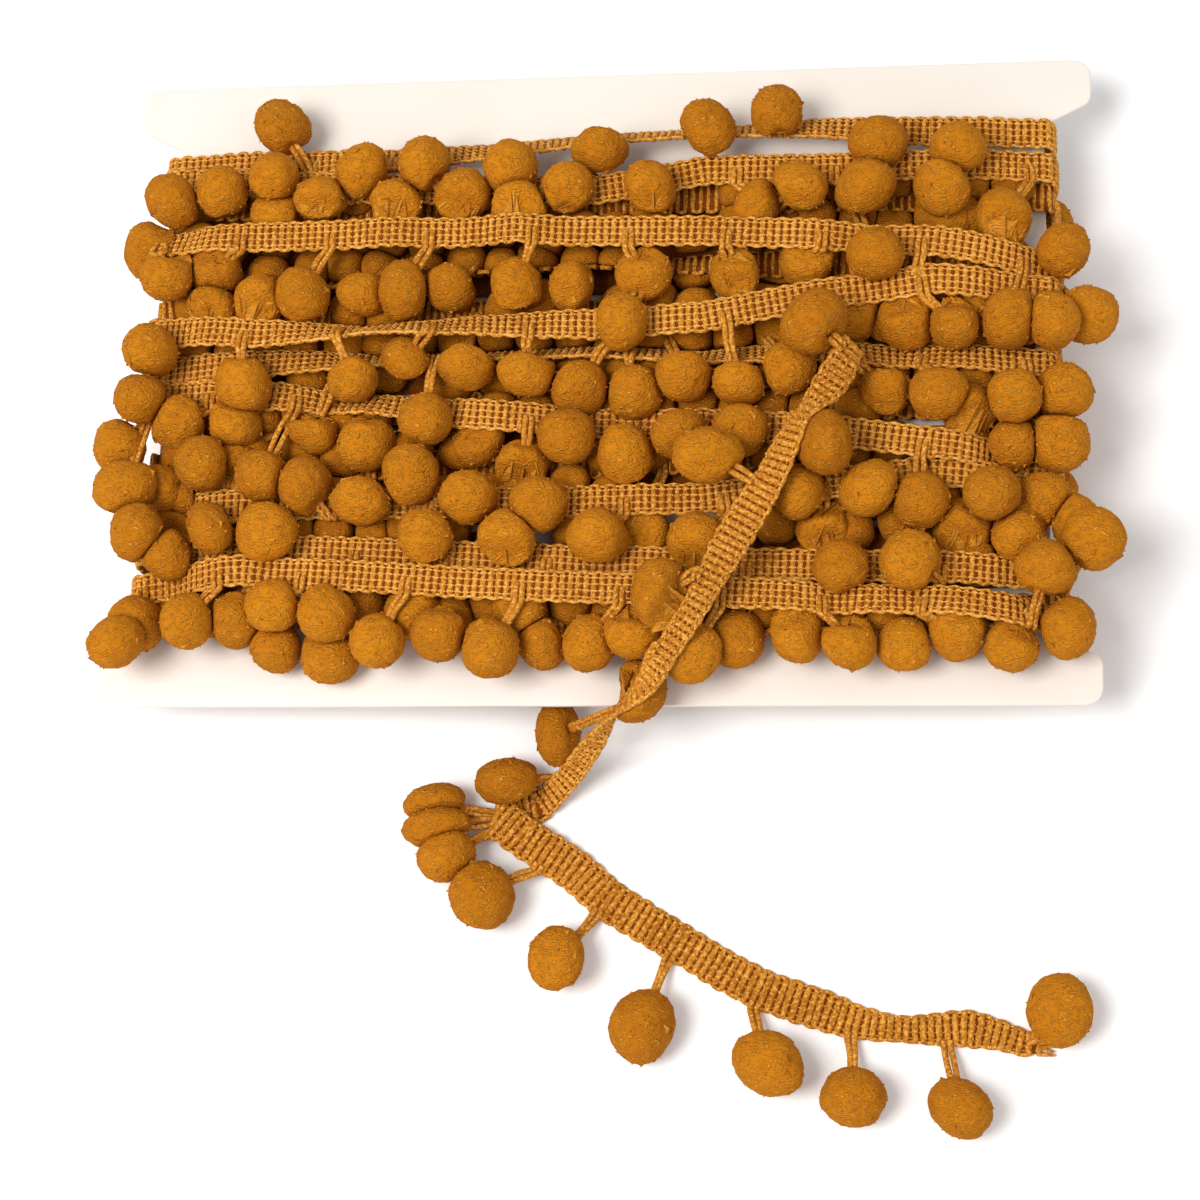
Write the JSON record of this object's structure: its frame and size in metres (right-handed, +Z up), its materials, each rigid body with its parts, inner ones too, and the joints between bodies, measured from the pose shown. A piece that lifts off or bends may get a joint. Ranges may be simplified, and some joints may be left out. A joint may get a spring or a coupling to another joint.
{
  "type": "pompom fringe trim wound on a card",
  "caption": "Length of ball fringe trim, a narrow woven tape with wool pompoms on short threads, wound round a notched flat card with one end lying loose.",
  "frame": {"origin": "under the middle of the whole thing's bounding box, on the surface it lies on", "axes": "+X along the card's long side, +Y across the card, away from the loose end, +Z up out of the card's front face"},
  "size_m": [0.2028, 0.2174, 0.0447],
  "materials": {
    "card_board": "matt white coated board, not printed",
    "mustard_trim": "matt mustard wool and cotton"
  },
  "bodies": {
    "root": {"card": "card_board", "winding": "mustard_trim", "loose_end": "mustard_trim"}
  },
  "joints": []
}
